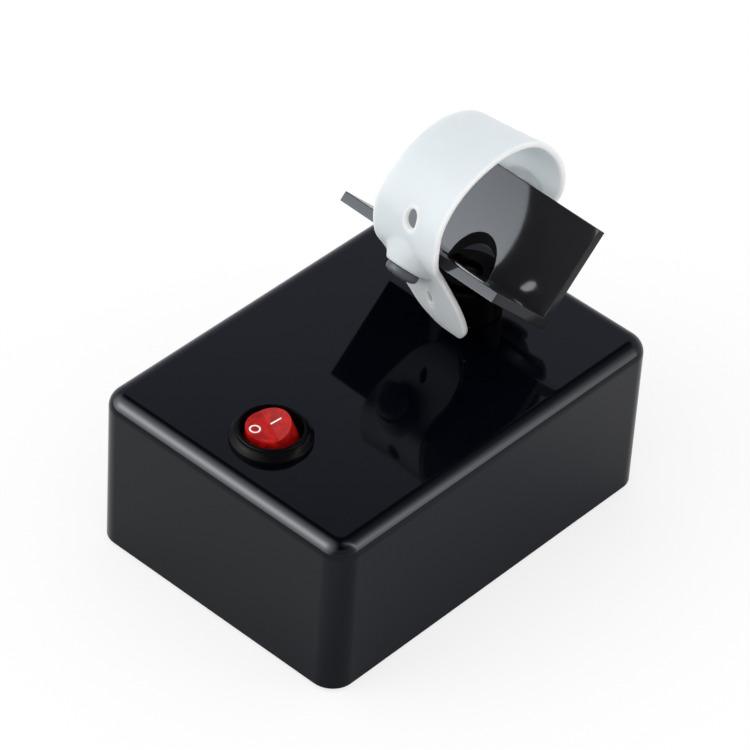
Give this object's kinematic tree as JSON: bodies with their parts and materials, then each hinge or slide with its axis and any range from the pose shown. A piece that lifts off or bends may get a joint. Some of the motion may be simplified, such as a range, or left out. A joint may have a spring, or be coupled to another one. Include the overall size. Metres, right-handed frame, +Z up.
{
  "type": "nail polish shaker machine",
  "caption": "Glossy black box on rubber feet with a round red rocker switch on top and a V-shaped cradle with a soft white strap that shakes a small bottle in circles.",
  "frame": {"origin": "middle of the box's footprint, on the table under the rubber feet", "axes": "+X along the box from the switch end to the cradle end, +Y across it to the power inlet's side, +Z up"},
  "size_m": [0.1264, 0.09, 0.1109],
  "materials": {
    "gloss_black": "polished injection moulding",
    "base_grey": "fine matt",
    "zinc_steel": "zinc plated",
    "foot_rubber": "soft matt rubber",
    "matt_black": "satin moulded nylon",
    "red_lens": "clear red moulding",
    "brass": "plain",
    "nickel": "nickel plated",
    "red_insulation": "PVC insulation",
    "black_insulation": "PVC insulation",
    "motor_steel": "drawn can, plated",
    "end_cap_nylon": "moulded nylon",
    "bronze": "sintered",
    "shaft_steel": "turned and ground",
    "carriage_aluminium": "machined",
    "black_oxide": "blackened steel",
    "smoked_sheet": "polished sheet",
    "peg_grey": "polished moulding",
    "milky_silicone": "smooth translucent silicone"
  },
  "bodies": {
    "box": {"housing": "gloss_black", "base_plate": "base_grey", "base_screws": "zinc_steel", "rubber_feet": "foot_rubber", "switch_body": "matt_black", "switch_terminals": "brass", "inlet_body": "matt_black", "inlet_pin": "nickel", "inlet_nut": "nickel", "inlet_tags": "brass", "feed_lead": "red_insulation", "switched_lead": "red_insulation", "return_lead": "black_insulation", "standoffs": "nickel", "standoff_screws": "zinc_steel", "motor_plate": "zinc_steel", "plate_screws": "zinc_steel", "motor_can": "motor_steel", "motor_end_cap": "end_cap_nylon", "motor_tags": "brass", "motor_screws": "zinc_steel", "plate_bushes": "bronze"},
    "rocker": {"switch_rocker": "red_lens"},
    "drive": {"motor_shaft": "shaft_steel", "drive_eccentric": "shaft_steel", "grub_screw": "zinc_steel"},
    "left_crank": {"left_idler": "shaft_steel", "left_idler_clips": "zinc_steel"},
    "right_crank": {"right_idler": "shaft_steel", "right_idler_clips": "zinc_steel"},
    "carrier": {"carriage": "carriage_aluminium", "pin_bearing": "shaft_steel", "carriage_bushes": "bronze", "post": "matt_black", "cradle": "smoked_sheet", "cradle_screw": "black_oxide", "strap_pegs": "peg_grey", "strap": "milky_silicone"}
  },
  "joints": [
    {"name": "power_rocker", "type": "hinge", "parent": "box", "child": "rocker", "pos_m": [-0.0425, 0, 0.051], "axis": [0.3746, 0.9272, 0], "range_deg": [0, 20]},
    {"name": "drive_spin", "type": "hinge", "parent": "box", "child": "drive", "pos_m": [0.0333, 0, 0.04], "axis": [0, 0, 1], "continuous": true},
    {"name": "carrier_turn", "type": "hinge", "parent": "drive", "child": "carrier", "pos_m": [0.03559, 0.001, 0.044], "axis": [0, 0, 1], "continuous": true},
    {"name": "left_idler_spin", "type": "hinge", "parent": "box", "child": "left_crank", "pos_m": [0.0133, 0.014, 0.037], "axis": [0, 0, 1], "continuous": true},
    {"name": "right_idler_spin", "type": "hinge", "parent": "box", "child": "right_crank", "pos_m": [0.0133, -0.014, 0.037], "axis": [0, 0, 1], "continuous": true}
  ],
  "couplings": [
    {"joint": "carrier_turn", "follows": "drive_spin", "ratio": -1},
    {"joint": "left_idler_spin", "follows": "drive_spin", "ratio": 1},
    {"joint": "right_idler_spin", "follows": "drive_spin", "ratio": 1}
  ]
}
